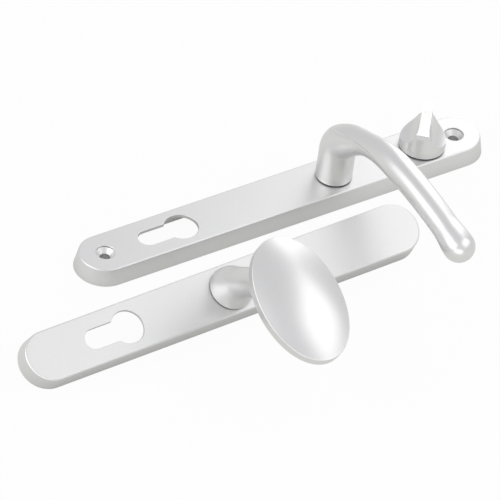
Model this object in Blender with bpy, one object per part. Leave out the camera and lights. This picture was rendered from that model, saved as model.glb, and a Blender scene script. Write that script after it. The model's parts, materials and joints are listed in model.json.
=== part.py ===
"""Lever and pad door handle set for a euro cylinder, laid out as two halves on a table.

Each half is modelled in the frame of its own backplate: X runs along the plate towards its top end,
Z stands off the door, the back of the plate is at Z = 0 and the cylinder's axis is at X = Y = 0.
The inside half lies flat. The outside half leans on its fixing posts and its near edge.
All sizes are in metres.
"""

import math

import bmesh
import bpy
from mathutils import Matrix, Vector

# Backplates, alike on both halves
plate_length = 0.2420
screw_centres = 0.2110
outside_top_margin = 0.0112
plate_width = 0.0302
plate_depth = 0.0096
side_draft = 0.0016
outside_draft = 0.0008
edge_round = 0.0009
face_wall = 0.0024
rib = 0.0022
cylinder_above_screw = 0.0450

# Euro-profile cut-out: a round part and a slot below it
euro_radius = 0.00885
euro_slot_radius = 0.0054
euro_slot_reach = 0.0195
euro_back_margin = 0.0016
euro_back_above = 0.0060

# Where the handles stand above the cylinder's axis, and the snib below the upper screw
lever_height = 0.0920
pad_height = 0.0620
snib_below_screw = 0.0199

# Countersunk holes for the fixing screws, and the posts that take those screws
screw_hole_radius = 0.0027
countersink_radius = 0.0051
countersink_depth = 0.0024
countersink_land = 0.0009
post_radius = 0.0040
post_projection = 0.0052
post_seat_depth = 0.0056
post_thread_radius = 0.0021
post_thread_depth = 0.0090

# Clearances
gap = 0.0003
play_angle = math.radians(1.5)

# Turning drive, alike behind the lever and behind the pad
shank_radius = 0.0075
shank_flat = 0.0063
spindle_square = 0.0082
lever_socket_depth = 0.0220
pad_socket_depth = 0.0140
bush_wall = 0.0009
bush_flange_thickness = 0.0005
drive_pocket_radius = 0.0124
cover_thickness = 0.0008
circlip_thickness = 0.0007
circlip_width = 0.0016
circlip_groove = 0.0006
circlip_opening = math.radians(50)
cam_thickness = 0.0013
cam_rim = 0.0021
cam_finger_radius = 0.0008
cam_finger_height = 0.0012
spring_wire = 0.0010
cover_screw_radius = 0.0013
cover_screw_head_radius = 0.0026
cover_screw_length = 0.0050

# Lever handle
neck_radius = 0.0095
bend_radius = 0.0105
sweep_radius = 0.0699
bend_reach = 0.0530
arm_height = 0.0558
arm_radius = 0.0076
tip_radius = 0.0083
tip_drop = 0.0065
lever_reach = 0.1163
lever_lift = math.radians(45)
lever_push = math.radians(35)

# Pad handle
pad_base_radius = 0.0114
stem_radius = 0.0083
pad_half_length = 0.0343
pad_half_width = 0.0226
pad_rim_height = 0.0687
pad_rim_thickness = 0.0053
pad_edge = 0.0004
pad_dome = 0.0060
pad_offset = 0.0318
pad_turn = math.radians(40)

# Snib
snib_base_radius = 0.0121
snib_base_height = 0.0030
snib_top_radius = 0.0062
snib_tall = 0.0265
snib_bar = 0.0050
snib_bar_length = 0.0172
snib_bar_top = 0.0100
snib_ledge = 0.0134
snib_scoop_radius = 0.0070
snib_scoop_floor = 0.0048
snib_rest = math.radians(-40)
snib_shank_radius = 0.0050
snib_shank_flat = 0.0042
snib_square = 0.0052
snib_socket_depth = 0.0120
snib_cam_square = 0.0110
snib_cam_corner = 0.0020
snib_cam_thickness = 0.0024
leaf_thickness = 0.0005
leaf_width = 0.0022
leaf_length = 0.0250
leaf_bow = 0.0010
snib_circlip_width = 0.0012

# Where the outside half lies, seen from the inside half's cylinder axis
outside_along = -0.0670
outside_near_edge = -0.0652
outside_yaw = math.radians(1.5)

# Values that follow from the sizes above
lower_screw = -cylinder_above_screw
upper_screw = screw_centres - cylinder_above_screw
end_margin = (plate_length - screw_centres) / 2
snib_height = upper_screw - snib_below_screw
plate_low = lower_screw - end_margin
inner_face = plate_depth - face_wall
neck_foot = plate_depth + 2 * gap + bush_flange_thickness
circlip_low = cover_thickness + gap
cam_low = circlip_low + circlip_thickness + gap
cam_high = cam_low + cam_thickness
cam_radius = shank_radius + cam_rim
finger_centre = drive_pocket_radius - gap - cam_finger_radius
cover_half_width = drive_pocket_radius + 0.8 * bush_wall
cover_screw_offset = drive_pocket_radius + gap + 2 * cover_screw_head_radius
cover_end = cover_screw_offset + 2 * cover_screw_head_radius
outside_half_width = plate_width / 2 - side_draft + outside_draft
outside_tilt = math.atan2(post_projection, outside_half_width - post_radius)
ROUND = 40
FINE = 24

set_collection = bpy.data.collections.new("handle_set")
cutter_collection = bpy.data.collections.new("cutters")


def clear_scene():
    for obj in list(bpy.data.objects):
        bpy.data.objects.remove(obj, do_unlink=True)
    bpy.context.scene.collection.children.link(set_collection)
    bpy.context.scene.collection.children.link(cutter_collection)


def finish(name, colour, roughness, metallic):
    material = bpy.data.materials.new(name)
    material.use_nodes = True
    shader = material.node_tree.nodes["Principled BSDF"]
    shader.inputs["Base Color"].default_value = (*colour, 1.0)
    shader.inputs["Roughness"].default_value = roughness
    shader.inputs["Metallic"].default_value = metallic
    return material


def add_object(name, mesh, parent, material=None):
    """A mesh as an object under its half or its joint. One with no material is a cutter."""
    obj = bpy.data.objects.new(name, mesh)
    obj.parent = parent
    if material:
        mesh.materials.append(material)
        mesh.shade_smooth()
        mesh.set_sharp_from_angle(angle=math.radians(30))
        set_collection.objects.link(obj)
    else:
        obj.hide_render = True
        obj.display_type = "WIRE"
        cutter_collection.objects.link(obj)
    return obj


def add_empty(name, parent, location=(0, 0, 0), rotation=(0, 0, 0)):
    empty = bpy.data.objects.new(name, None)
    empty.parent = parent
    empty.location = location
    empty.rotation_euler = rotation
    empty.empty_display_size = 0.02
    set_collection.objects.link(empty)
    return empty


def mesh_from(bm, name):
    bmesh.ops.recalc_face_normals(bm, faces=bm.faces)
    mesh = bpy.data.meshes.new(name)
    bm.to_mesh(mesh)
    bm.free()
    return mesh


def loft(name, rings):
    """A closed skin through rings of equally many points, capped at both ends."""
    bm = bmesh.new()
    rows = [[bm.verts.new(point) for point in ring] for ring in rings]
    for lower, upper in zip(rows, rows[1:]):
        for i in range(len(lower)):
            j = (i + 1) % len(lower)
            bm.faces.new((lower[i], lower[j], upper[j], upper[i]))
    bm.faces.new(reversed(rows[0]))
    bm.faces.new(rows[-1])
    return mesh_from(bm, name)


def ring(half_x, half_y, centre_y, z, count, flat=None):
    """An oval at height z. flat limits how far it reaches in X, which leaves two flats."""
    points = []
    for i in range(count):
        angle = 2 * math.pi * i / count
        x = half_x * math.cos(angle)
        if flat:
            x = max(-flat, min(flat, x))
        points.append((x, centre_y + half_y * math.sin(angle), z))
    return points


def turned(name, profile, count=ROUND):
    """A solid of revolution about Z through (radius, height) points, low to high."""
    return loft(name, [ring(radius, radius, 0, height, count) for radius, height in profile])


def stadium(low, high, half_width, end_points=FINE):
    """A flat outline with straight sides and half-round ends."""
    points = []
    for centre, start in ((high - half_width, -90), (low + half_width, 90)):
        for i in range(end_points + 1):
            angle = math.radians(start + 180 * i / end_points)
            points.append((centre + half_width * math.cos(angle), half_width * math.sin(angle)))
    return points


def rounded_rectangle(half_x, half_y, radius, corner_points=5):
    points = []
    for turn, side_x, side_y in ((0, 1, 1), (90, -1, 1), (180, -1, -1), (270, 1, -1)):
        for i in range(corner_points + 1):
            angle = math.radians(turn + 90 * i / corner_points)
            x = side_x * (half_x - radius) + radius * math.cos(angle)
            points.append((x, side_y * (half_y - radius) + radius * math.sin(angle)))
    return points


def euro_outline():
    """The cut-out: most of a circle, and a slot below it that ends half-round."""
    meet = math.pi - math.asin(euro_slot_radius / euro_radius)
    round_part = [-meet + 2 * meet * i / ROUND for i in range(ROUND + 1)]
    points = [(euro_radius * math.cos(a), euro_radius * math.sin(a)) for a in round_part]
    for i in range(FINE + 1):
        angle = math.pi / 2 + math.pi * i / FINE
        x = -euro_slot_reach + euro_slot_radius * math.cos(angle)
        points.append((x, euro_slot_radius * math.sin(angle)))
    return points


def prism(name, outline, low, high, at_x=0.0):
    """An outline given thickness, made from a filled flat curve."""
    curve = bpy.data.curves.new(name, "CURVE")
    curve.dimensions = "2D"
    curve.fill_mode = "BOTH"
    curve.extrude = (high - low) / 2
    spline = curve.splines.new("POLY")
    spline.points.add(len(outline) - 1)
    for point, (x, y) in zip(spline.points, outline):
        point.co = (x + at_x, y, 0, 1)
    spline.use_cyclic_u = True
    guide = bpy.data.objects.new(name + "_outline", curve)
    cutter_collection.objects.link(guide)
    graph = bpy.context.evaluated_depsgraph_get()
    mesh = bpy.data.meshes.new_from_object(guide.evaluated_get(graph))
    bpy.data.objects.remove(guide)
    bm = bmesh.new()
    bm.from_mesh(mesh)
    bpy.data.meshes.remove(mesh)
    bmesh.ops.remove_doubles(bm, verts=bm.verts, dist=1e-6)
    bmesh.ops.translate(bm, verts=bm.verts, vec=(0, 0, (high + low) / 2))
    return mesh_from(bm, name)


def block(name, low, high):
    """A box between two corners."""
    bm = bmesh.new()
    size = Vector(high) - Vector(low)
    middle = (Vector(high) + Vector(low)) / 2
    bmesh.ops.create_cube(bm, size=1, matrix=Matrix.Translation(middle) @ Matrix.Diagonal((*size, 1)))
    return mesh_from(bm, name)


def moved(mesh, x=0.0, y=0.0, z=0.0):
    mesh.transform(Matrix.Translation((x, y, z)))
    return mesh


def combine(obj, operation, *meshes):
    """Cuts the meshes from the object, or joins them to it, in the object's own frame."""
    for mesh in meshes:
        tool = add_object(obj.name + "_" + mesh.name, mesh, obj.parent)
        modifier = obj.modifiers.new(tool.name, "BOOLEAN")
        modifier.operation = operation
        modifier.object = tool
        modifier.solver = "MANIFOLD" if obj.name.endswith("backplate") else "EXACT"


def cut(obj, *meshes):
    combine(obj, "DIFFERENCE", *meshes)


def join(obj, *meshes):
    combine(obj, "UNION", *meshes)


def make_backplate(name, half, top_margin, draft, material):
    """The cast plate: a drafted stadium with a rounded front edge and the euro cut-out."""
    rings = []
    high = upper_screw + top_margin
    for drawn_in, height in (
        (side_draft - draft, 0),
        (side_draft, plate_depth - edge_round),
        (side_draft + 0.3 * edge_round, plate_depth - 0.3 * edge_round),
        (side_draft + edge_round, plate_depth),
    ):
        outline = stadium(plate_low + drawn_in, high - drawn_in, plate_width / 2 - drawn_in)
        rings.append([(x, y, height) for x, y in outline])
    plate = add_object(name, loft(name, rings), half, material)
    plate.data.shade_flat()
    cut(plate, prism("euro", euro_outline(), -gap, plate_depth + gap))
    return plate


def lighten(plate, spans):
    """Shallow casting pockets in the back, between the parts that need full depth."""
    half_width = plate_width / 2 - side_draft - rib
    for i, (low, high) in enumerate(spans):
        pocket = rounded_rectangle((high - low) / 2, half_width, rib)
        cut(plate, prism(f"core_{i}", pocket, -gap, inner_face, (high + low) / 2))


def euro_span():
    """The stretch of the back that is cleared behind the euro cut-out, so its edge is only the face's wall."""
    return -euro_slot_reach - euro_slot_radius - euro_back_margin, euro_radius + euro_back_above


def pocket_spans(low, high, count):
    """Splits a stretch of the back into pockets with ribs between them."""
    step = (high - low + rib) / count
    return [(low + i * step, low + (i + 1) * step - rib) for i in range(count)]


def cut_drive_seat(plate, at, low_stop, high_stop):
    """Bore, spring pocket, cover recess and stops behind a turning handle."""
    bore = shank_radius + bush_wall + 2 * gap
    cut(plate, moved(turned("bore", [(bore, -gap), (bore, plate_depth + gap)]), at))
    pocket = [(drive_pocket_radius, -gap), (drive_pocket_radius, inner_face)]
    cut(plate, moved(turned("pocket", pocket), at))
    recess = stadium(at - cover_end - gap, at + cover_end + gap, cover_half_width + gap)
    cut(plate, prism("recess", recess, -gap, cover_thickness + gap))
    tap = cover_screw_radius + gap
    for side in (-1, 1):
        hole = turned(f"tap_{side}", [(tap, 0), (tap, cover_screw_length + 2 * gap)], FINE)
        cut(plate, moved(hole, at + side * cover_screw_offset))
    peg_low = cam_high + cam_finger_height + gap
    peg = [(cam_finger_radius, peg_low), (cam_finger_radius, inner_face + gap)]
    join(plate, moved(turned("spring_peg", peg, 12), at, -finger_centre))
    finger_angle = math.asin(2 * cam_finger_radius / finger_centre) + play_angle
    for side, limit in ((-1, low_stop), (1, high_stop)):
        angle = math.pi / 2 + side * (limit + finger_angle)
        stop = [(cam_finger_radius, cam_low), (cam_finger_radius, inner_face + gap)]
        x = at + finger_centre * math.cos(angle)
        join(plate, moved(turned(f"stop_{side}", stop, 12), x, finger_centre * math.sin(angle)))


def shank_rings(count):
    """Rings of the turning shank, from its free end to the foot of the handle's neck."""
    groove_high = circlip_low + circlip_thickness + gap / 2
    groove_low = circlip_low - gap / 2
    groove = shank_radius - circlip_groove
    plain = [
        (shank_radius, gap, None),
        (shank_radius, groove_low, None),
        (groove, groove_low, None),
        (groove, groove_high, None),
        (shank_radius, groove_high, shank_flat),
        (shank_radius, cam_high, shank_flat),
        (shank_radius, cam_high + gap, None),
        (shank_radius, neck_foot, None),
    ]
    return [ring(radius, radius, 0, z, count, flat) for radius, z, flat in plain]


def square_socket(side, depth):
    return block("socket", (-side / 2, -side / 2, -gap), (side / 2, side / 2, depth))


def make_bush(name, half, at, radius, flange_radius, material):
    """Flanged nylon sleeve. Its flange parts the handle from the plate."""
    outer = radius + gap + bush_wall
    flange_low = plate_depth + gap
    flange_high = flange_low + bush_flange_thickness
    profile = [(outer, inner_face), (outer, flange_low), (flange_radius, flange_low), (flange_radius, flange_high)]
    bush = add_object(name, moved(turned(name, profile), at), half, material)
    bore = turned("bore", [(radius + gap, inner_face - gap), (radius + gap, flange_high + gap)])
    cut(bush, moved(bore, at))


def make_circlip(name, joint, radius, groove, width, material):
    """Open retaining ring in the shank's groove."""
    inner = radius - groove + gap
    outer = inner + width
    span = 2 * math.pi - circlip_opening
    angles = [circlip_opening / 2 + span * i / ROUND for i in range(ROUND + 1)]
    outline = [(outer * math.cos(a), outer * math.sin(a)) for a in angles]
    outline += [(inner * math.cos(a), inner * math.sin(a)) for a in reversed(angles)]
    high = circlip_low + circlip_thickness - gap / 2
    add_object(name, prism(name, outline, circlip_low + gap / 2, high), joint, material)


def make_cam(name, joint, material):
    """Steel cam keyed to the shank's flats. Its finger turns the spring and meets the stops."""
    disc = turned(name, [(cam_radius, cam_low), (cam_radius, cam_high)])
    cam = add_object(name, disc, joint, material)
    reach = finger_centre
    join(cam, block("arm", (-cam_finger_radius, 0, cam_low), (cam_finger_radius, reach, cam_high)))
    finger = [(cam_finger_radius, cam_low), (cam_finger_radius, cam_high + cam_finger_height)]
    join(cam, moved(turned("finger", finger, 16), 0, reach))
    keyed = [
        ring(shank_radius + gap, shank_radius + gap, 0, z, ROUND, shank_flat + gap)
        for z in (cam_low - gap, cam_high + gap)
    ]
    cut(cam, loft("key", keyed))


def spring_points():
    """Route of the torsion spring: a leg at the cam's finger, a coil, and a leg at the plate's peg."""
    mean = shank_radius + 2 * gap + spring_wire / 2
    low = cam_high + gap + spring_wire / 2
    high = inner_face - gap - spring_wire / 2
    lean = (cam_finger_radius + spring_wire / 2 + gap) / finger_centre
    start = math.pi / 2 - lean
    turn = 3 * math.pi - 2 * lean
    steps = 3 * FINE // 2
    coil = []
    for i in range(steps + 1):
        angle = start - turn * i / steps
        coil.append(Vector((mean * math.cos(angle), mean * math.sin(angle), low + (high - low) * i / steps)))
    ends = []
    for end in (coil[0], coil[-1]):
        outward = Vector((end.x, end.y, 0)).normalized()
        ends.append(end + outward * (finger_centre - mean))
    return [ends[0], *coil, ends[1]], turn


def make_spring(name, half, at, material):
    """Torsion spring round the shank, one unbroken wire."""
    points, turn = spring_points()
    curve = bpy.data.curves.new(name, "CURVE")
    curve.dimensions = "3D"
    curve.bevel_depth = spring_wire / 2
    curve.bevel_resolution = 1
    curve.use_fill_caps = True
    spline = curve.splines.new("POLY")
    spline.points.add(len(points) - 1)
    for spline_point, point in zip(spline.points, points):
        spline_point.co = (point.x + at, point.y, point.z, 1)
    curve.materials.append(material)
    spring = bpy.data.objects.new(name, curve)
    spring.parent = half
    set_collection.objects.link(spring)
    rise = (points[-2].z - points[1].z) * 2 * math.pi / turn
    print(f"{name}: least gap between turns {1000 * (rise - spring_wire):.2f} mm")


def make_cover(name, half, at, materials):
    """Sheet cover that closes the spring pocket, let into the back of the plate, and its two screws."""
    outline = stadium(at - cover_end, at + cover_end, cover_half_width)
    cover = add_object(name, prism(name, outline, 0, cover_thickness), half, materials["steel"])
    hole = shank_radius + circlip_width
    cut(cover, moved(turned("hole", [(hole, -gap), (hole, cover_thickness + gap)]), at))
    head_high = cover_screw_head_radius - cover_screw_radius
    for i, side in enumerate((-1, 1)):
        x = at + side * cover_screw_offset
        seat = [
            (cover_screw_head_radius + 2 * gap, -gap),
            (cover_screw_radius + gap, head_high),
            (cover_screw_radius + gap, head_high + cover_thickness),
        ]
        cut(cover, moved(turned(f"seat_{i}", seat, FINE), x))
        screw = [
            (cover_screw_head_radius, 0),
            (cover_screw_radius, head_high),
            (cover_screw_radius, cover_screw_length),
        ]
        screw_name = f"{name}_screw_{i + 1}"
        add_object(screw_name, moved(turned(screw_name, screw, FINE), x), half, materials["steel"])


def make_drive(prefix, half, at, flange_radius, materials):
    """Everything behind a turning handle but the handle itself. Returns the empty on its axis."""
    joint = add_empty(prefix + "_axis", half, (at, 0, 0))
    make_bush(prefix + "_bush", half, at, shank_radius, flange_radius, materials["nylon"])
    make_cam(prefix + "_cam", joint, materials["steel"])
    make_circlip(prefix + "_circlip", joint, shank_radius, circlip_groove, circlip_width, materials["steel"])
    make_spring(prefix + "_return_spring", half, at, materials["spring"])
    make_cover(prefix + "_cover", half, at, materials)
    return joint


def smooth_between(stops, where):
    """Eases a value through (place, value) stops."""
    for (low, first), (high, second) in zip(stops, stops[1:]):
        if where <= high:
            share = max(0.0, (where - low) / (high - low))
            share = share * share * (3 - 2 * share)
            return first + (second - first) * share
    return stops[-1][1]


def make_lever(joint, material):
    """Lever: shank, upright neck, swept bend, and an arm that bows back to the door at its bulbous tip."""
    tip_centre = lever_reach - tip_radius
    stops = [(0, neck_radius), (0.35, 0.90 * neck_radius), (0.65, 0.80 * arm_radius), (1, arm_radius)]
    rings = shank_rings(FINE)
    rings.append(ring(neck_radius, neck_radius, 0, neck_foot, FINE))
    bend_steps = 14
    meet = math.acos((bend_reach - bend_radius) / (sweep_radius - bend_radius))
    bend_start = arm_height - sweep_radius * (1 - math.sin(meet)) - bend_radius * math.sin(meet)
    for i in range(bend_steps + 1):
        away = bend_reach * (1 - math.cos(i / bend_steps * math.pi / 2))
        if away < bend_radius * (1 - math.cos(meet)):
            turn = math.acos(1 - away / bend_radius)
            height = bend_start + bend_radius * math.sin(turn)
        else:
            turn = math.acos((bend_reach - away) / sweep_radius)
            height = arm_height - sweep_radius * (1 - math.sin(turn))
        along = Vector((0, -math.sin(turn), math.cos(turn)))
        rings.append(lever_section(Vector((0, -away, height)), along, smooth_between(stops, i / bend_steps)))
    swell = [(0, arm_radius), (0.75, 0.95 * arm_radius), (1, tip_radius)]
    arm_steps = 8
    for i in range(1, arm_steps + 1):
        share = i / arm_steps
        centre = Vector((0, -bend_reach - (tip_centre - bend_reach) * share, arm_height - tip_drop * share**2))
        along = Vector((0, bend_reach - tip_centre, -2 * tip_drop * share))
        rings.append(lever_section(centre, along, smooth_between(swell, share)))
    tip_steps = 6
    for i in range(1, tip_steps):
        angle = i / tip_steps * math.pi / 2
        end = centre + along.normalized() * (tip_radius * math.sin(angle))
        rings.append(lever_section(end, along, tip_radius * math.cos(angle)))
    lever = add_object("lever_handle", loft("lever_handle", rings), joint, material)
    cut(lever, square_socket(spindle_square, lever_socket_depth))


def lever_section(centre, along, radius):
    """A round section square to the way the lever runs."""
    across = along.normalized().cross(Vector((1, 0, 0)))
    points = []
    for i in range(FINE):
        angle = 2 * math.pi * i / FINE
        points.append(centre + Vector((radius * math.cos(angle), 0, 0)) + across * (radius * math.sin(angle)))
    return points


def make_pad(joint, material):
    """Pad: shank, flared foot, swan-necked stem and a domed oval disc set to one side."""
    back = pad_rim_height - pad_rim_thickness
    rings = shank_rings(ROUND)
    rings.append(ring(pad_base_radius, pad_base_radius, 0, neck_foot, ROUND))
    stem_top = back - 0.004
    stops = [
        (0, pad_base_radius),
        (0.25, 1.04 * stem_radius),
        (0.45, stem_radius),
        (0.75, 1.25 * stem_radius),
        (1.0, 1.75 * stem_radius),
    ]
    steps = 10
    for i in range(1, steps + 1):
        share = i / steps
        z = neck_foot + (stem_top - neck_foot) * share
        half_x = smooth_between(stops, share)
        half_y = half_x * (1 + 0.3 * share**3)
        rings.append(ring(half_x, half_y, -0.86 * pad_offset * share**1.7, z, ROUND))
    face_half_width = pad_half_width - pad_edge
    face_half_length = pad_half_length - pad_edge
    for half_x, half_y, z in (
        (face_half_width, face_half_length, back),
        (pad_half_width, pad_half_length, back + pad_edge),
        (pad_half_width, pad_half_length, pad_rim_height - pad_edge),
        (face_half_width, face_half_length, pad_rim_height),
    ):
        rings.append(ring(half_x, half_y, -pad_offset, z, ROUND))
    dome_steps = 8
    for i in range(1, dome_steps):
        share = 1 - i / dome_steps
        z = pad_rim_height + pad_dome * (1 - share**2)
        rings.append(ring(face_half_width * share, face_half_length * share, -pad_offset, z, ROUND))
    pad = add_object("pad_handle", loft("pad_handle", rings), joint, material)
    cut(pad, square_socket(spindle_square, pad_socket_depth))


def scoop_outline(side):
    """Side view of what a finger scoop takes away: upright at the bar, with a rounded foot."""
    wall = snib_bar / 2
    points = []
    for i in range(FINE + 1):
        angle = math.pi + math.pi / 2 * i / FINE
        x = wall + snib_scoop_radius * (1 + math.cos(angle))
        points.append((side * x, snib_scoop_radius * (1 + math.sin(angle))))
    far = wall + 2 * snib_base_radius
    return points + [(side * far, 0), (side * far, 2 * snib_tall), (side * wall, 2 * snib_tall)]


def make_snib(joint, half, plate, materials):
    """Thumb turn with two finger scoops, its bush, and the sprung square cam that holds it at each quarter."""
    foot = neck_foot
    top = plate_depth + snib_tall
    cam_bottom = circlip_low + circlip_thickness + gap
    cam_top = cam_bottom + snib_cam_thickness
    groove = snib_shank_radius - circlip_groove
    groove_low = circlip_low - gap / 2
    groove_high = circlip_low + circlip_thickness + gap / 2
    shank = [
        (snib_shank_radius, gap, None),
        (snib_shank_radius, groove_low, None),
        (groove, groove_low, None),
        (groove, groove_high, None),
        (snib_shank_radius, groove_high, snib_shank_flat),
        (snib_shank_radius, cam_top, snib_shank_flat),
        (snib_shank_radius, cam_top + gap, None),
        (snib_shank_radius, foot, None),
        (snib_base_radius, foot, None),
        (snib_base_radius, foot + snib_base_height, None),
        (snib_top_radius + 0.68 * (snib_base_radius - snib_top_radius), foot + 0.6 * (top - foot), None),
        (snib_top_radius, top - 0.0015, None),
        (snib_top_radius - 0.0012, top, None),
    ]
    rings = [ring(radius, radius, 0, z, ROUND, flat) for radius, z, flat in shank]
    knob = add_object("snib_knob", loft("snib_knob", rings), joint, materials["silver"])
    cut(knob, square_socket(snib_square, snib_socket_depth))
    ledge = plate_depth + snib_ledge
    lean = (snib_bar_length - snib_bar_top) / 2 / (top - ledge)
    for side in (-1, 1):
        scoop = prism(f"scoop_{side}", scoop_outline(side), -plate_width, plate_width)
        scoop.transform(Matrix.Rotation(math.pi / 2, 4, "X"))
        cut(knob, moved(scoop, 0, 0, foot + snib_scoop_floor))
        near = side * snib_bar_length / 2
        far = side * 2 * snib_base_radius
        end = side * (snib_bar_top / 2 - lean * gap)
        outline = [(near, ledge), (far, ledge), (far, top + gap), (end, top + gap)]
        bar_end = prism(f"bar_end_{side}", outline, -snib_base_radius, snib_base_radius)
        bar_end.transform(Matrix.Rotation(math.pi / 2, 4, "Z") @ Matrix.Rotation(math.pi / 2, 4, "X"))
        cut(knob, bar_end)
    make_bush("snib_bush", half, snib_height, snib_shank_radius, snib_base_radius - 2 * gap, materials["nylon"])
    make_circlip("snib_circlip", joint, snib_shank_radius, circlip_groove, snib_circlip_width, materials["steel"])
    cam_outline = rounded_rectangle(snib_cam_square / 2, snib_cam_square / 2, snib_cam_corner)
    cam = add_object("snib_cam", prism("snib_cam", cam_outline, cam_bottom, cam_top), joint, materials["steel"])
    bore = snib_shank_radius + gap
    keyed = [ring(bore, bore, 0, z, ROUND, snib_shank_flat + gap) for z in (cam_bottom - gap, cam_top + gap)]
    cut(cam, loft("key", keyed))
    corner = math.sqrt(2) * (snib_cam_square / 2 - snib_cam_corner) + snib_cam_corner
    leaf_near = corner + gap
    leaf_low = (cam_bottom + cam_top - leaf_width) / 2
    leaf_high = leaf_low + leaf_width
    half_leaf = leaf_length / 2
    bowed = []
    for i in range(FINE + 1):
        x = half_leaf * (2 * i / FINE - 1)
        bowed.append((x, -leaf_near + leaf_bow * (x / half_leaf) ** 2))
    outline = bowed + [(x, y - leaf_thickness) for x, y in reversed(bowed)]
    leaf = prism("snib_detent_spring", outline, leaf_low, leaf_high, snib_height)
    add_object("snib_detent_spring", leaf, half, materials["spring"])
    sweep = leaf_near + leaf_thickness + gap
    bore_radius = snib_shank_radius + bush_wall + 2 * gap
    slot_low = (-half_leaf - gap, -leaf_near - leaf_thickness - gap, -gap)
    slot_high = (half_leaf + gap, -leaf_near + leaf_bow + gap, leaf_high + gap)
    cut(
        plate,
        moved(turned("snib_bore", [(bore_radius, -gap), (bore_radius, plate_depth + gap)]), snib_height),
        moved(turned("snib_pocket", [(sweep, -gap), (sweep, inner_face)]), snib_height),
        moved(block("leaf_slot", slot_low, slot_high), snib_height),
    )


def make_inside_half(half, materials):
    """Plate with screw holes, lever and snib."""
    plate = make_backplate("inside_backplate", half, end_margin, side_draft, materials["silver"])
    for i, x in enumerate((lower_screw, upper_screw)):
        hole = [
            (screw_hole_radius, -gap),
            (screw_hole_radius, plate_depth - countersink_land - countersink_depth),
            (countersink_radius, plate_depth - countersink_land),
            (countersink_radius, plate_depth + gap),
        ]
        cut(plate, moved(turned(f"screw_hole_{i}", hole, 32), x))
    cut_drive_seat(plate, lever_height, lever_push, lever_lift)
    joint = make_drive("lever", half, lever_height, neck_radius - gap, materials)
    make_lever(joint, materials["silver"])
    snib_joint = add_empty("snib_axis", half, (snib_height, 0, 0), (0, 0, snib_rest))
    make_snib(snib_joint, half, plate, materials)
    first = euro_radius + euro_back_above + rib
    last = lever_height - cover_end - rib
    lighten(plate, [euro_span()] + pocket_spans(first, last, 2))


def make_outside_half(half, materials):
    """Plate with no holes in its face, pad, and the tapped posts that the fixing screws pull on."""
    plate = make_backplate("outside_backplate", half, outside_top_margin, outside_draft, materials["silver"])
    for name, x in (("fixing_post_lower", lower_screw), ("fixing_post_upper", upper_screw)):
        seat = [(post_radius + gap, -gap), (post_radius + gap, post_seat_depth + gap)]
        cut(plate, moved(turned(name + "_seat", seat, 32), x))
        post = [(post_radius, -post_projection), (post_radius, post_seat_depth)]
        body = add_object(name, moved(turned(name, post, 32), x), half, materials["steel"])
        thread = [
            (post_thread_radius, -post_projection - gap),
            (post_thread_radius, post_thread_depth - post_projection),
        ]
        cut(body, moved(turned("thread", thread, FINE), x))
    cut_drive_seat(plate, pad_height, pad_turn, play_angle)
    joint = make_drive("pad", half, pad_height, pad_base_radius - gap, materials)
    make_pad(joint, materials["silver"])
    first = pad_height + cover_end + rib
    last = upper_screw - post_radius - 2 * rib
    lighten(plate, [euro_span()] + pocket_spans(first, last, 3))


def centre_on_floor(root):
    """Moves the whole set so that the middle of its footprint is the origin, with the floor at Z = 0."""
    bpy.context.view_layer.update()
    graph = bpy.context.evaluated_depsgraph_get()
    corners = []
    for obj in set_collection.objects:
        if obj.type != "EMPTY":
            shape = obj.evaluated_get(graph)
            mesh = shape.to_mesh()
            corners += [shape.matrix_world @ vertex.co for vertex in mesh.vertices]
            shape.to_mesh_clear()
    low = [min(corner[axis] for corner in corners) for axis in range(3)]
    high = [max(corner[axis] for corner in corners) for axis in range(3)]
    root.location = (-(low[0] + high[0]) / 2, -(low[1] + high[1]) / 2, -low[2])
    bpy.context.view_layer.update()


def main():
    clear_scene()
    materials = {
        "silver": finish("satin_silver", (0.80, 0.80, 0.80), 0.38, 1.0),
        "steel": finish("zinc_plated_steel", (0.62, 0.63, 0.64), 0.45, 1.0),
        "spring": finish("spring_steel", (0.32, 0.32, 0.33), 0.35, 1.0),
        "nylon": finish("black_nylon", (0.03, 0.03, 0.03), 0.55, 0.0),
    }
    root = add_empty("handle_set_origin", None)
    inside = add_empty("inside_half", root)
    near_edge = Vector((outside_along, outside_near_edge, 0))
    turn = Matrix.Rotation(outside_yaw, 4, "Z") @ Matrix.Rotation(outside_tilt, 4, "X")
    centre = near_edge + turn @ Vector((0, outside_half_width, 0))
    outside = add_empty("outside_half", root, centre, turn.to_euler())
    make_inside_half(inside, materials)
    make_outside_half(outside, materials)
    centre_on_floor(root)


main()
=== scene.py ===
import json
import math

import bmesh
import bpy
from mathutils import Matrix, Vector


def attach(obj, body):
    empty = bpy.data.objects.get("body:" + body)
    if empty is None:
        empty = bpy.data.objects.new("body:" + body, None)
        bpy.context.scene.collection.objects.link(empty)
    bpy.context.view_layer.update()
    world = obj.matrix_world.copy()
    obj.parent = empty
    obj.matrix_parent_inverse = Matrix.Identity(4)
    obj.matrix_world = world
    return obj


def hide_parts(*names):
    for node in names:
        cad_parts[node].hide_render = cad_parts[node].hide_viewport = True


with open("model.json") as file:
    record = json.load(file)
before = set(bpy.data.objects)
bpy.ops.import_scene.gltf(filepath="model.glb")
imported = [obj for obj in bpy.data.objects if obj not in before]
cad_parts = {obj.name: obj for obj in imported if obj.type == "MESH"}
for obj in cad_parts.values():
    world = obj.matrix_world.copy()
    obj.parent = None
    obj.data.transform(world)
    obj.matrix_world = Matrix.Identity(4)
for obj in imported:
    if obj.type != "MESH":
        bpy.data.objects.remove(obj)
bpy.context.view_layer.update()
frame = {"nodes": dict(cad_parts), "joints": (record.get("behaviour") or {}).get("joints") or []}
nodes = frame["nodes"]
hinges = {joint["name"]: joint for joint in frame["joints"]}


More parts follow.
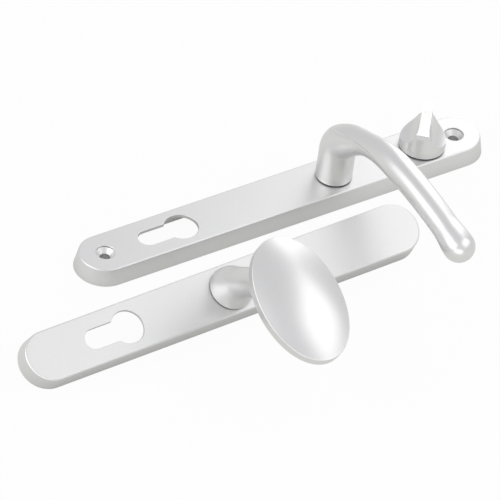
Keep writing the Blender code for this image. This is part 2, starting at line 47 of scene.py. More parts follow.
# Satin silver. Both plates and all three handles are aluminium, blasted with fine grit and then
# anodised, which gives an even soft sheen with a faint sparkle and no brushing lines.


def linear(code):
    """A linear colour from an sRGB hex value."""
    parts = [int(code[i : i + 2], 16) / 255 for i in (1, 3, 5)]
    return (*[c / 12.92 if c <= 0.04045 else ((c + 0.055) / 1.055) ** 2.4 for c in parts], 1.0)


def put(tree, kind, settings=None, **sockets):
    """Adds a node. settings are its own properties. A socket takes a value or another node's output."""
    node = tree.nodes.new(kind)
    for key, value in (settings or {}).items():
        setattr(node, key, value)
    for key, value in sockets.items():
        wanted = key.replace("_", " ")
        socket = next(s for s in node.inputs if s.name.lower() == wanted and s.enabled)
        if isinstance(value, bpy.types.NodeSocket):
            tree.links.new(value, socket)
        else:
            socket.default_value = value
    return node


def new_finish(name):
    """An empty material with its Principled shader and its object coordinates."""
    material = bpy.data.materials.new(name)
    material.use_nodes = True
    tree = material.node_tree
    where = put(tree, "ShaderNodeTexCoord").outputs["Object"]
    return material, tree, tree.nodes["Principled BSDF"], where


def satin_aluminium(name, smoothest, roughest):
    """Blasted and anodised aluminium. The handles are blasted finer than the plates."""
    material, tree, shader, where = new_finish(name)
    grit_mm = 0.45
    patch_mm = 38.0
    # Real blasting grit leaves pits of about 0.1 mm. They are drawn at 0.45 mm so that they show.
    grit = put(
        tree,
        "ShaderNodeTexNoise",
        vector=where,
        scale=1000 / grit_mm,
        detail=2.0,
        roughness=0.6,
    )
    patch = put(tree, "ShaderNodeTexNoise", vector=where, scale=1000 / patch_mm, detail=1.0)
    tint = put(
        tree,
        "ShaderNodeMix",
        {"data_type": "RGBA"},
        factor=patch.outputs["Fac"],
        a=linear("#e2e2e1"),
        b=linear("#e6e6e6"),
    )
    speck = put(tree, "ShaderNodeMapRange", value=grit.outputs["Fac"], to_min=0.93, to_max=1.05)
    colour = put(tree, "ShaderNodeVectorMath", {"operation": "SCALE"}, scale=speck.outputs[0])
    tree.links.new(tint.outputs["Result"], colour.inputs[0])
    tree.links.new(colour.outputs[0], shader.inputs["Base Color"])
    sheen = put(
        tree,
        "ShaderNodeMapRange",
        value=grit.outputs["Fac"],
        to_min=smoothest,
        to_max=roughest,
    )
    tree.links.new(sheen.outputs[0], shader.inputs["Roughness"])
    pits = put(tree, "ShaderNodeBump", height=grit.outputs["Fac"], strength=0.06, distance=0.0001)
    tree.links.new(pits.outputs[0], shader.inputs["Normal"])
    shader.inputs["Metallic"].default_value = 1.0
    return material


plate_silver = satin_aluminium("satin_anodised_plate", 0.40, 0.50)
handle_silver = satin_aluminium("satin_anodised_handle", 0.29, 0.39)


# Inside backplate. A long cast plate with round ends, a little draft on its sides and a soft front edge.
# It has the euro-profile cut-out, two countersunk screw holes, and seats in its back for the mechanism.


def skin(rings):
    """A closed skin through rings of equally many points, with a flat face at each end."""
    shape = bmesh.new()
    rows = [[shape.verts.new(point) for point in ring] for ring in rings]
    for lower, upper in zip(rows, rows[1:]):
        for i in range(len(lower)):
            j = (i + 1) % len(lower)
            shape.faces.new((lower[i], lower[j], upper[j], upper[i]))
    shape.faces.new(reversed(rows[0]))
    shape.faces.new(rows[-1])
    bmesh.ops.recalc_face_normals(shape, faces=shape.faces)
    mesh = bpy.data.meshes.new("skin")
    shape.to_mesh(mesh)
    shape.free()
    return mesh


def level(outline, z):
    """An outline set at the height z."""
    return [(x, y, z) for x, y in outline]


def stadium(low, high, half_width, steps=40):
    """Straight sides with half-round ends."""
    points = []
    for centre, start in ((high - half_width, -90), (low + half_width, 90)):
        for i in range(steps + 1):
            angle = math.radians(start + 180 * i / steps)
            points.append((centre + half_width * math.cos(angle), half_width * math.sin(angle)))
    return points


def circle(radius, x=0.0, y=0.0, steps=64):
    """A ring of points around (x, y)."""
    turn = 2 * math.pi / steps
    return [(x + radius * math.cos(i * turn), y + radius * math.sin(i * turn)) for i in range(steps)]


def euro_profile(grow):
    """The cut-out for the cylinder, a round part and a slot, made larger all round by grow."""
    radius, slot, reach = 0.00885 + grow, 0.0054 + grow, 0.0195
    meet = math.pi - math.asin(slot / radius)
    points = []
    for i in range(73):
        angle = meet * (i / 36 - 1)
        points.append((radius * math.cos(angle), radius * math.sin(angle)))
    for i in range(41):
        angle = math.pi / 2 + math.pi * i / 40
        points.append((slot * math.cos(angle) - reach, slot * math.sin(angle)))
    return points


def rounded_box(x_low, x_high, half_width, radius):
    """A rectangle with round corners, for the cored pockets in the back."""
    middle, half_length = (x_low + x_high) / 2, (x_high - x_low) / 2
    points = []
    for quarter, side_x, side_y in ((0, 1, 1), (90, -1, 1), (180, -1, -1), (270, 1, -1)):
        for i in range(7):
            angle = math.radians(quarter + 15 * i)
            x = middle + side_x * (half_length - radius) + radius * math.cos(angle)
            points.append((x, side_y * (half_width - radius) + radius * math.sin(angle)))
    return points


def lip(outline_at, z_low, z_face, round_mm):
    """A cutter from z_low up through the face at z_face. It leaves the edge there rounded."""
    round_over = round_mm / 1000
    rings = [level(outline_at(0.0), z_low)]
    for i in range(6):
        angle = math.pi / 2 * i / 5
        z = z_face - round_over * (1 - math.sin(angle))
        rings.append(level(outline_at(round_over * (1 - math.cos(angle))), z))
    rings.append(level(outline_at(round_over), z_face + 0.002))
    return skin(rings)


def carve(mesh, cutters, operation="DIFFERENCE"):
    """The mesh with each cutter taken out of it or added to it."""
    body = bpy.data.objects.new("body", mesh)
    bpy.context.scene.collection.objects.link(body)
    tools = []
    for cutter in cutters:
        tool = bpy.data.objects.new("tool", cutter)
        bpy.context.scene.collection.objects.link(tool)
        boolean = body.modifiers.new("carve", "BOOLEAN")
        boolean.operation = operation
        boolean.solver = "MANIFOLD"
        boolean.object = tool
        tools.append(tool)
    graph = bpy.context.evaluated_depsgraph_get()
    carved = bpy.data.meshes.new_from_object(body.evaluated_get(graph))
    for spent in [body, *tools]:
        bpy.data.objects.remove(spent)
    return carved


def set_piece(name, mesh, place, body, finish, stands_for, sharp=32):
    """Puts a finished mesh where it belongs and tells the frame which body carries it."""
    mesh.transform(place)
    mesh.materials.clear()
    mesh.materials.append(finish)
    mesh.shade_smooth()
    mesh.set_sharp_from_angle(angle=math.radians(sharp))
    piece = bpy.data.objects.new(name, mesh)
    bpy.context.scene.collection.objects.link(piece)
    even = piece.modifiers.new("even_shading", "WEIGHTED_NORMAL")
    even.keep_sharp = True
    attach(piece, body)
    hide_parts(*stands_for)


plate_depth, inner_face, rib = 0.0096, 0.0072, 0.0022
under, over = -0.001, 0.011
lever_height, pad_height, snib_height = 0.0920, 0.0620, 0.1461
screw_heights = (-0.0450, 0.1660)
cover_screw_offset = 0.0179
inside = Matrix.Translation(Vector(hinges["lever_turn"]["pos_m"]) - Vector((lever_height, 0, 0)))


def plate_blank(x_low, x_high, half_width, draft):
    """The plate before any hole: drafted sides and a rounded front edge."""
    soft_edge = 0.0010
    rings = [level(stadium(x_low, x_high, half_width), 0.0)]
    top_low, top_high, top_half = x_low + draft, x_high - draft, half_width - draft
    for i in range(7):
        angle = math.pi / 2 * i / 6
        drawn_in = soft_edge * (1 - math.cos(angle))
        z = plate_depth - soft_edge * (1 - math.sin(angle))
        rings.append(level(stadium(top_low + drawn_in, top_high - drawn_in, top_half - drawn_in), z))
    return skin(rings)


def drive_seat(x):
    """Cutters for the bore, spring pocket, cover recess and tapped holes behind a turning handle."""
    bore, pocket, tapping = 0.0090, 0.0124, 0.0016
    cover_reach, cover_half = 0.0234, 0.01342
    recess = stadium(x - cover_reach, x + cover_reach, cover_half)
    seat = [
        skin([level(circle(bore, x), z) for z in (under, over)]),
        skin([level(circle(pocket, x), z) for z in (under, inner_face)]),
        skin([level(recess, z) for z in (under, 0.0011)]),
    ]
    for side in (-1, 1):
        tapped = circle(tapping, x + side * cover_screw_offset, steps=24)
        seat.append(skin([level(tapped, z) for z in (0.0005, 0.0056)]))
    return seat


def drive_pins(x, angles):
    """The cast pegs in the spring pocket: one for the spring's leg, and a stop at each of the angles."""
    radius, peg_circle, root = 0.0008, 0.0113, 0.0075
    leg_peg = circle(radius, x, -peg_circle, 20)
    pins = [skin([level(leg_peg, z) for z in (0.0049, root)])]
    for angle in angles:
        stop_x = x + peg_circle * math.cos(math.radians(angle))
        stop_y = peg_circle * math.sin(math.radians(angle))
        stop_peg = circle(radius, stop_x, stop_y, 20)
        pins.append(skin([level(stop_peg, z) for z in (0.0021, root)]))
    return pins


def cored_back(x_low, x_high, count):
    """Cutters for a row of cored pockets with ribs between them."""
    half_width = 0.0113
    step = (x_high - x_low + rib) / count
    pockets = []
    for i in range(count):
        low = x_low + i * step
        outline = rounded_box(low, low + step - rib, half_width, rib)
        pockets.append(skin([level(outline, z) for z in (under, inner_face)]))
    return pockets


def euro_back(foot):
    """Cutter that thins the plate behind the cut-out to a narrow edge. foot is half its open width."""
    sides = ((under, foot), (0.0078, 0.0124))
    return skin([level(rounded_box(-0.0265, 0.01485, half, rib), z) for z, half in sides])


def countersunk(x):
    """Cutter for a screw hole: a straight hole, a cone, a short land and a broken edge at the face."""
    profile = (
        (0.0027, under),
        (0.0027, 0.0062),
        (0.0050, 0.0085),
        (0.0050, 0.0094),
        (0.0052, 0.0096),
        (0.0052, 0.0120),
    )
    return skin([level(circle(radius, x), z) for radius, z in profile])


def leaf_slot(x):
    """Cutter for the slot that holds the snib's leaf spring."""
    half_length, near, far = 0.0128, -0.00595, -0.00805
    outline = [
        (x - half_length, far),
        (x + half_length, far),
        (x + half_length, near),
        (x - half_length, near),
    ]
    return skin([level(outline, z) for z in (under, 0.0047)])


inside_cutters = [
    lip(euro_profile, under, plate_depth, 0.35),
    *[countersunk(x) for x in screw_heights],
    *drive_seat(lever_height),
    skin([level(circle(0.0065, snib_height), z) for z in (under, over)]),
    skin([level(circle(0.00805, snib_height), z) for z in (under, inner_face)]),
    leaf_slot(snib_height),
    euro_back(0.0138),
    *cored_back(0.01705, 0.0667, 2),
]
inside_casting = carve(plate_blank(-0.0605, 0.1815, 0.0151, 0.0016), inside_cutters)
set_piece(
    "inside_plate",
    carve(inside_casting, drive_pins(lever_height, (45.4, 144.6)), "UNION"),
    inside,
    "plates",
    plate_silver,
    ["inside_backplate"],
)


# Lever. One aluminium casting, dressed and blasted: an upright neck, a swept bend and an arm that bows
# back to the door. A ridge starts outside the bend, crosses to the side of the arm and fades at the tip.


def ease(stops, where):
    """A value eased through (place, value) stops."""
    for (low, first), (high, second) in zip(stops, stops[1:]):
        if where <= high:
            share = max(0.0, (where - low) / (high - low))
            return first + (second - first) * share * share * (3 - 2 * share)
    return stops[-1][1]


def flow(stops, where):
    """A value on a smooth curve through (place, value) stops that never overshoots them."""
    slopes = [0.0]
    for (a, first), (b, second), (c, third) in zip(stops, stops[1:], stops[2:]):
        before, after = (second - first) / (b - a), (third - second) / (c - b)
        slopes.append(2 * before * after / (before + after) if before * after > 0 else 0.0)
    slopes.append(0.0)
    for i, ((low, first), (high, second)) in enumerate(zip(stops, stops[1:])):
        if where <= high:
            share = max(0.0, (where - low) / (high - low))
            eased = first + (second - first) * share * share * (3 - 2 * share)
            leaving = slopes[i] * share * (1 - share) ** 2
            arriving = slopes[i + 1] * share * share * (share - 1)
            return eased + (high - low) * (leaving + arriving)
    return stops[-1][1]


def lever_ring(centre, along, radius, ridge=0.0, ridge_at=105.0, groove=0.0):
    """One section of the lever, square to the way it runs. Points crowd together at the ridge."""
    across = along.normalized().cross(Vector((1, 0, 0)))
    steps, crowding = 96, 0.11
    ridge_fall, groove_from_ridge, groove_half = 16, 7, 4
    points = []
    for i in range(steps):
        turn = i / steps
        offset = 360 * (turn - crowding * math.sin(2 * math.pi * turn))
        away = min(offset, 360 - offset)
        dip = groove * math.exp(-(((offset - groove_from_ridge) / groove_half) ** 2))
        reach = 1 + ridge * math.exp(-away / ridge_fall) - dip
        reach *= radius
        angle = math.radians(ridge_at + offset)
        sideways = Vector((reach * math.cos(angle), 0, 0))
        points.append(centre + sideways + across * (reach * math.sin(angle)))
    return points


def square(half):
    """The corners of a square, such as the hole for a spindle."""
    return [(x * half, y * half) for x, y in ((-1, -1), (1, -1), (1, 1), (-1, 1))]


neck_foot = 0.0107
spindle_half = 0.0041
neck_radius, arm_radius, tip_radius = 0.0095, 0.0076, 0.0083
bend_radius, sweep_radius, bend_reach, arm_height = 0.0105, 0.0699, 0.0530, 0.0558
tip_drop, tip_centre = 0.0065, 0.1080
upright = Vector((0, 0, 1))
lever_rings = []
lever_foot = (
    (0.0075, 0.0003),
    (0.0075, 0.0107),
    (0.0093, 0.0107),
    (0.0093, 0.0102),
    (0.0095, 0.0102),
    (0.00965, 0.0104),
    (0.0096, 0.0112),
    (0.0095, 0.0124),
)
for radius, z in lever_foot:
    lever_rings.append(lever_ring(Vector((0, 0, z)), upright, radius))
bend = [
    (0, neck_radius),
    (0.35, 0.90 * neck_radius),
    (0.65, 0.82 * arm_radius),
    (1, 0.96 * arm_radius),
]
swell = [(0, 0.96 * arm_radius), (0.75, 0.95 * arm_radius), (1, tip_radius)]
arm_ridge, arm_ridge_at = 0.05, 185
ridge_swing, ridge_start = 77, 0.17
ridge_rise = [(0, 0.0), (0.08, 0.0), (0.36, 0.06), (0.6, 0.07), (1, arm_ridge)]
groove_depth = [(0, 0.0), (0.12, 0.0), (0.36, 0.055), (0.65, 0.05), (0.95, 0.0)]
meet = math.acos((bend_reach - bend_radius) / (sweep_radius - bend_radius))
bend_start = arm_height - sweep_radius * (1 - math.sin(meet)) - bend_radius * math.sin(meet)
for i in range(41):
    share = i / 40
    away = bend_reach * (1 - math.cos(share * math.pi / 2))
    if away < bend_radius * (1 - math.cos(meet)):
        turn = math.acos(1 - away / bend_radius)
        centre = Vector((0, -away, bend_start + bend_radius * math.sin(turn)))
    else:
        turn = math.acos((bend_reach - away) / sweep_radius)
        centre = Vector((0, -away, arm_height - sweep_radius * (1 - math.sin(turn))))
    along = Vector((0, -math.sin(turn), math.cos(turn)))
    ridge_at = arm_ridge_at - ridge_swing * min(1.0, (1 - share) / (1 - ridge_start)) ** 1.2
    shape = (ease(ridge_rise, share), ridge_at, ease(groove_depth, share))
    lever_rings.append(lever_ring(centre, along, flow(bend, share), *shape))
for i in range(1, 41):
    share = i / 40
    away = bend_reach + (tip_centre - bend_reach) * share
    centre = Vector((0, -away, arm_height - tip_drop * share**2))
    along = Vector((0, bend_reach - tip_centre, -2 * tip_drop * share))
    fading = arm_ridge * (1 - share)
    lever_rings.append(lever_ring(centre, along, flow(swell, share), fading, arm_ridge_at))
for i in range(1, 16):
    angle = math.pi / 2 * i / 16
    end = centre + along.normalized() * (tip_radius * math.sin(angle))
    lever_rings.append(lever_ring(end, along, tip_radius * math.cos(angle), 0.0, arm_ridge_at))
lever_socket = skin([level(square(spindle_half), z) for z in (under, 0.0220)])
set_piece(
    "lever_grip",
    carve(skin(lever_rings), [lever_socket]),
    inside @ Matrix.Translation((lever_height, 0, 0)),
    "lever",
    handle_silver,
    ["lever_handle"],
    sharp=18,
)


# Snib. A small thumb turn, blasted and anodised like the lever, with a finger scoop milled on each side
# of its bar. The bar's ends are faced off at a slant above a narrow sloping ledge.

snib_profile = (
    (0.0050, 0.0003),
    (0.0050, 0.0107),
    (0.0116, 0.0107),
    (0.0116, 0.0102),
    (0.0119, 0.0102),
    (0.0121, 0.0104),
    (0.0121, 0.0134),
    (0.01198, 0.0140),
    (0.0116, 0.0170),
    (0.0110, 0.0212),
    (0.0102, 0.0259),
    (0.0090, 0.0290),
    (0.0076, 0.0320),
    (0.0065, 0.0342),
    (0.0060, 0.0352),
    (0.0050, 0.0361),
)
bar_half, scoop_radius, scoop_floor = 0.0027, 0.0135, 0.0140
past_side, past_top = 0.03, 0.05
bar_ends = ((0.0106, 0.0218), (0.0086, 0.0230), (-0.0022, past_top))
snib_rest = math.radians(-40)
scoops = []
for side in (-1, 1):
    outline = []
    for i in range(33):
        angle = math.pi + math.pi / 2 * i / 32
        reach_out = bar_half + scoop_radius * (1 + math.cos(angle))
        outline.append((side * reach_out, scoop_radius * (1 + math.sin(angle))))
    outline += [(side * past_side, 0.0), (side * past_side, past_top), (side * bar_half, past_top)]
    cutter = skin([level(outline, z) for z in (-past_side, past_side)])
    cutter.transform(Matrix.Translation((0, 0, scoop_floor)) @ Matrix.Rotation(math.pi / 2, 4, "X"))
    scoops.append(cutter)
    faced_off = []
    for near, z in bar_ends:
        corners = ((-0.02, near), (0.02, near), (0.02, past_side), (-0.02, past_side))
        faced_off.append([(x, side * y, z) for x, y in corners])
    scoops.append(skin(faced_off))
scoops.append(skin([level(square(0.0026), z) for z in (under, 0.0120)]))
snib_blank = skin([level(circle(radius), z) for radius, z in snib_profile])
set_piece(
    "snib_grip",
    carve(snib_blank, scoops),
    inside @ Matrix.Translation((snib_height, 0, 0)) @ Matrix.Rotation(snib_rest, 4, "Z"),
    "snib",
    handle_silver,
    ["snib_knob"],
)


# Outside backplate. The same casting without screw holes, so nothing can be undone from outside.
# Blind seats in its back take the two fixing posts.

askew = math.radians(1.5)
post_seat = 0.0043
pad_axis = Vector(hinges["pad_turn"]["axis"])
along_plate = Vector((math.cos(askew), math.sin(askew), 0))
up_plate = pad_axis.cross(along_plate)
outside = Matrix((along_plate, up_plate, pad_axis)).transposed().to_4x4()
outside.translation = Vector(hinges["pad_turn"]["pos_m"]) - pad_height * along_plate
outside_cutters = [
    lip(euro_profile, under, plate_depth, 0.35),
    *drive_seat(pad_height),
    *[skin([level(circle(post_seat, x), z) for z in (under, 0.0059)]) for x in screw_heights],
    euro_back(0.0128),
    *cored_back(0.0873, 0.1576, 3),
]
outside_casting = carve(plate_blank(-0.0597, 0.1764, 0.0143, 0.0008), outside_cutters)
set_piece(
    "outside_plate",
    carve(outside_casting, drive_pins(pad_height, (40.4, 101.1)), "UNION"),
    outside,
    "plates",
    plate_silver,
    ["outside_backplate"],
)


# Pad. A cast oval disc on a swan-necked stem, offset so that knuckles clear the door frame. Its front is
# a shallow dome that meets a plain rim at a small rounded edge.


def oval(half_x, half_y, centre_y, steps=96):
    """A ring of points around a centre on the pad's long axis."""
    turn = 2 * math.pi / steps
    return [(half_x * math.cos(i * turn), centre_y + half_y * math.sin(i * turn)) for i in range(steps)]


pad_half_x, pad_half_y, pad_offset = 0.0226, 0.0343, 0.0318
rim_back, rim_height, pad_edge, dome = 0.0634, 0.0687, 0.0005, 0.0060
stem_radius, foot_radius, stem_top = 0.0083, 0.0114, 0.0594
pad_foot = (
    (0.0075, 0.0003),
    (0.0075, 0.0107),
    (0.0112, 0.0107),
    (0.0112, 0.0102),
    (0.0114, 0.0102),
    (0.0116, 0.0104),
    (0.0115, 0.0111),
)
pad_rings = [level(oval(radius, radius, 0.0), z) for radius, z in pad_foot]
stem_lean = 0.86 * pad_offset
stem = [
    (0, foot_radius),
    (0.25, 1.04 * stem_radius),
    (0.45, stem_radius),
    (0.75, 1.25 * stem_radius),
    (1.0, 1.75 * stem_radius),
]
for i in range(2, 41):
    share = i / 40
    half_x = flow(stem, share)
    half_y = half_x * (1 + 0.3 * share**3)
    z = neck_foot + (stem_top - neck_foot) * share
    pad_rings.append(level(oval(half_x, half_y, -stem_lean * share**1.7), z))
for corner, start in ((rim_back + pad_edge, -90), (rim_height - pad_edge, 0)):
    for i in range(6):
        angle = math.radians(start + 18 * i)
        drawn_in = pad_edge * (1 - math.cos(angle))
        outline = oval(pad_half_x - drawn_in, pad_half_y - drawn_in, -pad_offset)
        pad_rings.append(level(outline, corner + pad_edge * math.sin(angle)))
for i in range(1, 36):
    share = 1 - i / 36
    outline = oval((pad_half_x - pad_edge) * share, (pad_half_y - pad_edge) * share, -pad_offset)
    pad_rings.append(level(outline, rim_height + dome * (1 - share**2)))
pad_socket = skin([level(square(spindle_half), z) for z in (under, 0.0140)])
set_piece(
    "pad_grip",
    carve(skin(pad_rings), [pad_socket]),
    outside @ Matrix.Translation((pad_height, 0, 0)),
    "pad",
    handle_silver,
    ["pad_handle"],
)


# Fixing posts and cover screws. Turned steel, zinc plated and clear passivated, which leaves a pale
# blue-grey metal with a slightly cloudy colour. The posts are tapped for the long screws.

zinc_steel, tree, shader, where = new_finish("clear_zinc_plated_steel")
cloud_mm = 4.0
cloud = put(
    tree,
    "ShaderNodeTexNoise",
    vector=where,
    scale=1000 / cloud_mm,
    detail=3.0,
    roughness=0.55,
)
plating = put(
    tree,
    "ShaderNodeMix",
    {"data_type": "RGBA"},
    factor=cloud.outputs["Fac"],
    a=linear("#aeb3ba"),
    b=linear("#c6c7c4"),
)
tree.links.new(plating.outputs["Result"], shader.inputs["Base Color"])
dull = put(tree, "ShaderNodeMapRange", value=cloud.outputs["Fac"], to_min=0.28, to_max=0.45)
tree.links.new(dull.outputs[0], shader.inputs["Roughness"])
shader.inputs["Metallic"].default_value = 1.0


def from_nodes(name, group, values):
    """The plain mesh that a geometry tree makes from its named sizes."""
    holder = bpy.data.objects.new(name, bpy.data.meshes.new(name))
    bpy.context.scene.collection.objects.link(holder)
    modifier = holder.modifiers.new(name, "NODES")
    modifier.node_group = group
    for item in group.interface.items_tree:
        if item.item_type == "SOCKET" and item.in_out == "INPUT" and item.name in values:
            modifier[item.identifier] = values[item.name]
    graph = bpy.context.evaluated_depsgraph_get()
    mesh = bpy.data.meshes.new_from_object(holder.evaluated_get(graph))
    bpy.data.objects.remove(holder)
    return mesh


def sized_tree(name, inputs):
    """A geometry tree with number inputs and one geometry output."""
    group = bpy.data.node_groups.new(name, "GeometryNodeTree")
    for label, value in inputs.items():
        socket = group.interface.new_socket(label, in_out="INPUT", socket_type="NodeSocketFloat")
        socket.default_value = value
    group.interface.new_socket("Geometry", in_out="OUTPUT", socket_type="NodeSocketGeometry")
    entry = group.nodes.new("NodeGroupInput")
    leave = group.nodes.new("NodeGroupOutput")
    return group, entry.outputs, leave.inputs["Geometry"]


def finish_tree(group, geometry, finish, leave):
    """Ends a tree in realised instances with their material."""
    real = put(group, "GeometryNodeRealizeInstances", geometry=geometry)
    painted = put(group, "GeometryNodeSetMaterial", geometry=real.outputs[0], material=finish)
    group.links.new(painted.outputs[0], leave)


screw_sizes = {
    "Head radius": 0.0026,
    "Shank radius": 0.0013,
    "Length": 0.0050,
    "Centres": 2 * cover_screw_offset,
    "Drive width": 0.0005,
}
pair_of_screws, sizes, leave = sized_tree("pair_of_cover_screws", screw_sizes)
head = put(
    pair_of_screws,
    "GeometryNodeMeshCone",
    {"fill_type": "NGON"},
    radius_top=sizes["Shank radius"],
    radius_bottom=sizes["Head radius"],
    depth=0.0013,
)
head.inputs["Vertices"].default_value = 40
shank = put(
    pair_of_screws,
    "GeometryNodeMeshCylinder",
    radius=sizes["Shank radius"],
    depth=sizes["Length"],
)
half_length = put(pair_of_screws, "ShaderNodeMath", {"operation": "MULTIPLY"})
pair_of_screws.links.new(sizes["Length"], half_length.inputs[0])
half_length.inputs[1].default_value = 0.5
lift = put(pair_of_screws, "ShaderNodeCombineXYZ", z=half_length.outputs[0])
raised = put(
    pair_of_screws,
    "GeometryNodeTransform",
    geometry=shank.outputs["Mesh"],
    translation=lift.outputs[0],
    scale=(0.999, 0.999, 0.96),
)
whole = put(pair_of_screws, "GeometryNodeMeshBoolean", {"operation": "UNION", "solver": "MANIFOLD"})
pair_of_screws.links.new(head.outputs["Mesh"], whole.inputs["Mesh 2"])
pair_of_screws.links.new(raised.outputs[0], whole.inputs["Mesh 2"])
drive_size = put(pair_of_screws, "ShaderNodeCombineXYZ", x=0.0030, y=sizes["Drive width"], z=0.0014)
blade = put(pair_of_screws, "GeometryNodeMeshCube", size=drive_size.outputs[0])
crossed = put(
    pair_of_screws,
    "GeometryNodeTransform",
    geometry=blade.outputs["Mesh"],
    rotation=(0, 0, math.pi / 2),
)
drive = put(pair_of_screws, "GeometryNodeMeshBoolean", {"operation": "DIFFERENCE", "solver": "MANIFOLD"})
pair_of_screws.links.new(whole.outputs["Mesh"], drive.inputs["Mesh 1"])
pair_of_screws.links.new(blade.outputs["Mesh"], drive.inputs["Mesh 2"])
pair_of_screws.links.new(crossed.outputs[0], drive.inputs["Mesh 2"])
half_centres = put(pair_of_screws, "ShaderNodeMath", {"operation": "MULTIPLY"})
pair_of_screws.links.new(sizes["Centres"], half_centres.inputs[0])
half_centres.inputs[1].default_value = -0.5
first = put(pair_of_screws, "ShaderNodeCombineXYZ", x=half_centres.outputs[0])
pitch = put(pair_of_screws, "ShaderNodeCombineXYZ", x=sizes["Centres"])
row = put(
    pair_of_screws,
    "GeometryNodeMeshLine",
    count=2,
    start_location=first.outputs[0],
    offset=pitch.outputs[0],
)
placed = put(
    pair_of_screws,
    "GeometryNodeInstanceOnPoints",
    points=row.outputs["Mesh"],
    instance=drive.outputs["Mesh"],
)
finish_tree(pair_of_screws, placed.outputs[0], zinc_steel, leave)
for half, place, x in (("lever", inside, lever_height), ("pad", outside, pad_height)):
    set_piece(
        half + "_cover_screws",
        from_nodes(half + "_cover_screws", pair_of_screws, screw_sizes),
        place @ Matrix.Translation((x, 0, 0)),
        "plates",
        zinc_steel,
        [half + "_cover_screw_1", half + "_cover_screw_2"],
    )

thread_sizes = {"Radius": 0.0021, "Height": 0.0080, "Wire radius": 0.00022, "Turns": 10.0}
tapped_thread, sizes, leave = sized_tree("tapped_thread", thread_sizes)
helix = put(
    tapped_thread,
    "GeometryNodeCurveSpiral",
    resolution=24,
    rotations=sizes["Turns"],
    start_radius=sizes["Radius"],
    end_radius=sizes["Radius"],
    height=sizes["Height"],
)
crest = put(tapped_thread, "GeometryNodeCurvePrimitiveCircle", {"mode": "RADIUS"}, resolution=6)
tapped_thread.links.new(sizes["Wire radius"], crest.inputs["Radius"])
wound = put(
    tapped_thread,
    "GeometryNodeCurveToMesh",
    curve=helix.outputs["Curve"],
    profile_curve=crest.outputs["Curve"],
    fill_caps=True,
)
finish_tree(tapped_thread, wound.outputs["Mesh"], zinc_steel, leave)
post_profile = ((0.0036, -0.0052), (0.0040, -0.0048), (0.0040, 0.0056))
post_hole = ((0.0026, -0.0055), (0.0026, -0.0052), (0.0021, -0.0047), (0.0021, 0.0038))
for end, x in zip(("lower", "upper"), screw_heights):
    blank = skin([level(circle(radius), z) for radius, z in post_profile])
    hole = skin([level(circle(radius, steps=40), z) for radius, z in post_hole])
    post = carve(blank, [hole])
    thread = from_nodes("thread", tapped_thread, thread_sizes)
    thread.transform(Matrix.Translation((0, 0, -0.0045)))
    both = bmesh.new()
    both.from_mesh(post)
    both.from_mesh(thread)
    both.to_mesh(post)
    both.free()
    set_piece(
        "threaded_post_" + end,
        post,
        outside @ Matrix.Translation((x, 0, 0)),
        "plates",
        zinc_steel,
        ["fixing_post_" + end],
    )


# Mechanism in the backs. Pressed steel covers, cams and circlips are zinc plated, the torsion springs
# and the leaf are oiled spring steel, and the bushes are moulded in black nylon.

spring_steel, tree, shader, where = new_finish("oiled_spring_steel")
smear_mm = 3.0
smear = put(tree, "ShaderNodeTexNoise", vector=where, scale=1000 / smear_mm, detail=3.0)
oil = put(
    tree,
    "ShaderNodeMix",
    {"data_type": "RGBA"},
    factor=smear.outputs["Fac"],
    a=linear("#5d5c5a"),
    b=linear("#7d7c7a"),
)
tree.links.new(oil.outputs["Result"], shader.inputs["Base Color"])
film = put(tree, "ShaderNodeMapRange", value=smear.outputs["Fac"], to_min=0.22, to_max=0.40)
tree.links.new(film.outputs[0], shader.inputs["Roughness"])
shader.inputs["Metallic"].default_value = 1.0

black_nylon, tree, shader, where = new_finish("moulded_black_nylon")
texture_mm = 0.6
spark = put(tree, "ShaderNodeTexNoise", vector=where, scale=1000 / texture_mm, detail=2.0)
matt = put(tree, "ShaderNodeMapRange", value=spark.outputs["Fac"], to_min=0.48, to_max=0.62)
tree.links.new(matt.outputs[0], shader.inputs["Roughness"])
grain = put(tree, "ShaderNodeBump", height=spark.outputs["Fac"], strength=0.15, distance=0.0001)
tree.links.new(grain.outputs[0], shader.inputs["Normal"])
shader.inputs["Base Color"].default_value = linear("#1b1b1c")

for name, node in nodes.items():
    finish = zinc_steel
    if name.endswith("_spring"):
        finish = spring_steel
    elif name.endswith("_bush"):
        finish = black_nylon
    elif name.endswith("_backplate"):
        finish = plate_silver
    elif name.endswith(("_handle", "_knob")):
        finish = handle_silver
    node.data.materials.clear()
    node.data.materials.append(finish)


# Studio. A pale table stands in a light grey room with four softboxes: a wide one to the left, a tall
# one on the right, one high in front and a low one near the camera, which is far back with a long lens.

studio = bpy.data.worlds.new("studio")
studio.use_nodes = True
tree = studio.node_tree
seen = put(tree, "ShaderNodeLightPath")
room = put(
    tree,
    "ShaderNodeMix",
    {"data_type": "RGBA"},
    factor=seen.outputs["Is Camera Ray"],
    a=linear("#e0e0e2"),
    b=linear("#ffffff"),
)
background = tree.nodes["Background"]
tree.links.new(room.outputs["Result"], background.inputs["Color"])
background.inputs["Strength"].default_value = 1.0
bpy.context.scene.world = studio

table_white = bpy.data.materials.new("white_table")
table_white.use_nodes = True
tree = table_white.node_tree
plain = tree.nodes["Principled BSDF"]
plain.inputs["Base Color"].default_value = linear("#dadad8")
plain.inputs["Roughness"].default_value = 0.9
plain.inputs["Specular IOR Level"].default_value = 0.0
seen = put(tree, "ShaderNodeLightPath")
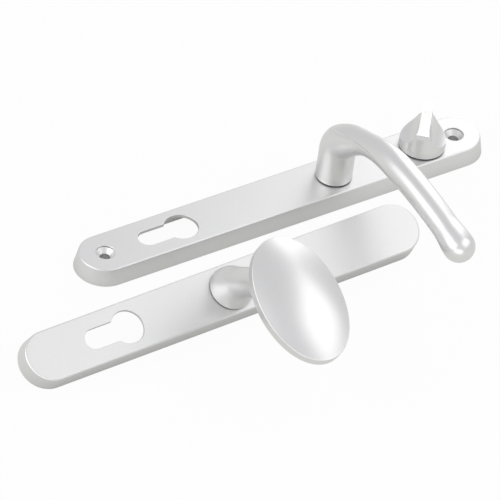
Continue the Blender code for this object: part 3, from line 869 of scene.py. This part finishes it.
# The metal shows the table too. Close under and beside the object, ambient occlusion darkens the table's
# glow that the metal sees: this is painted shade.
table_pale = linear("#ededea")
shade_reach, shade_depth = 0.02, 0.65
# Painted shade: an ambient occlusion tone that darkens the table's glow near the object.
painted_shade_ao = put(
    tree,
    "ShaderNodeAmbientOcclusion",
    {"samples": 8},
    color=table_pale,
    distance=shade_reach,
)
shaded = put(
    tree,
    "ShaderNodeMix",
    {"data_type": "RGBA"},
    factor=shade_depth,
    a=table_pale,
    b=painted_shade_ao.outputs["Color"],
)
tone = put(
    tree,
    "ShaderNodeMix",
    {"data_type": "RGBA"},
    factor=seen.outputs["Is Glossy Ray"],
    a=linear("#ffffff"),
    b=shaded.outputs["Result"],
)
glow = put(tree, "ShaderNodeEmission", color=tone.outputs["Result"], strength=1.0)
eye_share, metal_share = 0.95, 0.80
clear = put(tree, "ShaderNodeMath", {"operation": "MAXIMUM"})
tree.links.new(seen.outputs["Is Camera Ray"], clear.inputs[0])
tree.links.new(seen.outputs["Is Transmission Ray"], clear.inputs[1])
to_eye = put(tree, "ShaderNodeMath", {"operation": "MULTIPLY"})
tree.links.new(clear.outputs[0], to_eye.inputs[0])
to_eye.inputs[1].default_value = eye_share
to_metal = put(tree, "ShaderNodeMath", {"operation": "MULTIPLY"})
tree.links.new(seen.outputs["Is Glossy Ray"], to_metal.inputs[0])
to_metal.inputs[1].default_value = metal_share
glow_share = put(tree, "ShaderNodeMath", {"operation": "MAXIMUM"})
tree.links.new(to_eye.outputs[0], glow_share.inputs[0])
tree.links.new(to_metal.outputs[0], glow_share.inputs[1])
mixed = put(tree, "ShaderNodeMixShader")
tree.links.new(glow_share.outputs[0], mixed.inputs[0])
tree.links.new(plain.outputs[0], mixed.inputs[1])
tree.links.new(glow.outputs[0], mixed.inputs[2])
tree.links.new(mixed.outputs[0], tree.nodes["Material Output"].inputs["Surface"])
table_mesh = bpy.data.meshes.new("table")
table_half, table_drop = 6.0, 0.0002
table_mesh.from_pydata(level(square(table_half), 0.0), [], [(0, 1, 2, 3)])
table_mesh.materials.append(table_white)
table = bpy.data.objects.new("table", table_mesh)
table.location.z = -table_drop
bpy.context.scene.collection.objects.link(table)

# Each softbox has its place, its size and the brightness that a mirror would show.
softboxes = (
    ("left_softbox", (-0.86, 0.06, 0.56), (1.20, 0.75), 1.30),
    ("right_softbox", (0.425, 0.298, 0.30), (0.27, 0.68), 0.95),
    ("top_softbox", (0.393, -0.365, 0.597), (0.74, 0.56), 0.80),
    ("low_softbox", (-0.50, -0.80, 0.13), (0.90, 0.24), 2.00),
)
middle = Vector((0.0, 0.0, 0.03))
for name, place, (wide, tall), brightness in softboxes:
    lamp = bpy.data.lights.new(name, "AREA")
    lamp.shape = "RECTANGLE"
    lamp.size = wide
    lamp.size_y = tall
    lamp.energy = brightness * math.pi * wide * tall
    lamp_object = bpy.data.objects.new(name, lamp)
    lamp_object.location = place
    aim = middle - Vector(place)
    lamp_object.rotation_euler = aim.to_track_quat("-Z", "Y").to_euler()
    lamp_object.visible_camera = False
    bpy.context.scene.collection.objects.link(lamp_object)

camera = bpy.data.cameras.new("camera")
camera.lens = 576
camera.sensor_width = 36
camera.clip_end = 50
camera_object = bpy.data.objects.new("camera", camera)
right = Vector((0.8412, -0.5295, 0.1095))
up = Vector((0.2875, 0.6095, 0.7388))
back = Vector((-0.4580, -0.5900, 0.6650))
stand = Matrix((right, up, back)).transposed().to_4x4()
from_cylinder = Vector((-1.8236, -2.4082, 2.6900))
stand.translation = inside.translation + from_cylinder
camera_object.matrix_world = stand
bpy.context.scene.collection.objects.link(camera_object)
bpy.context.scene.camera = camera_object
bpy.context.scene.view_settings.view_transform = "Standard"
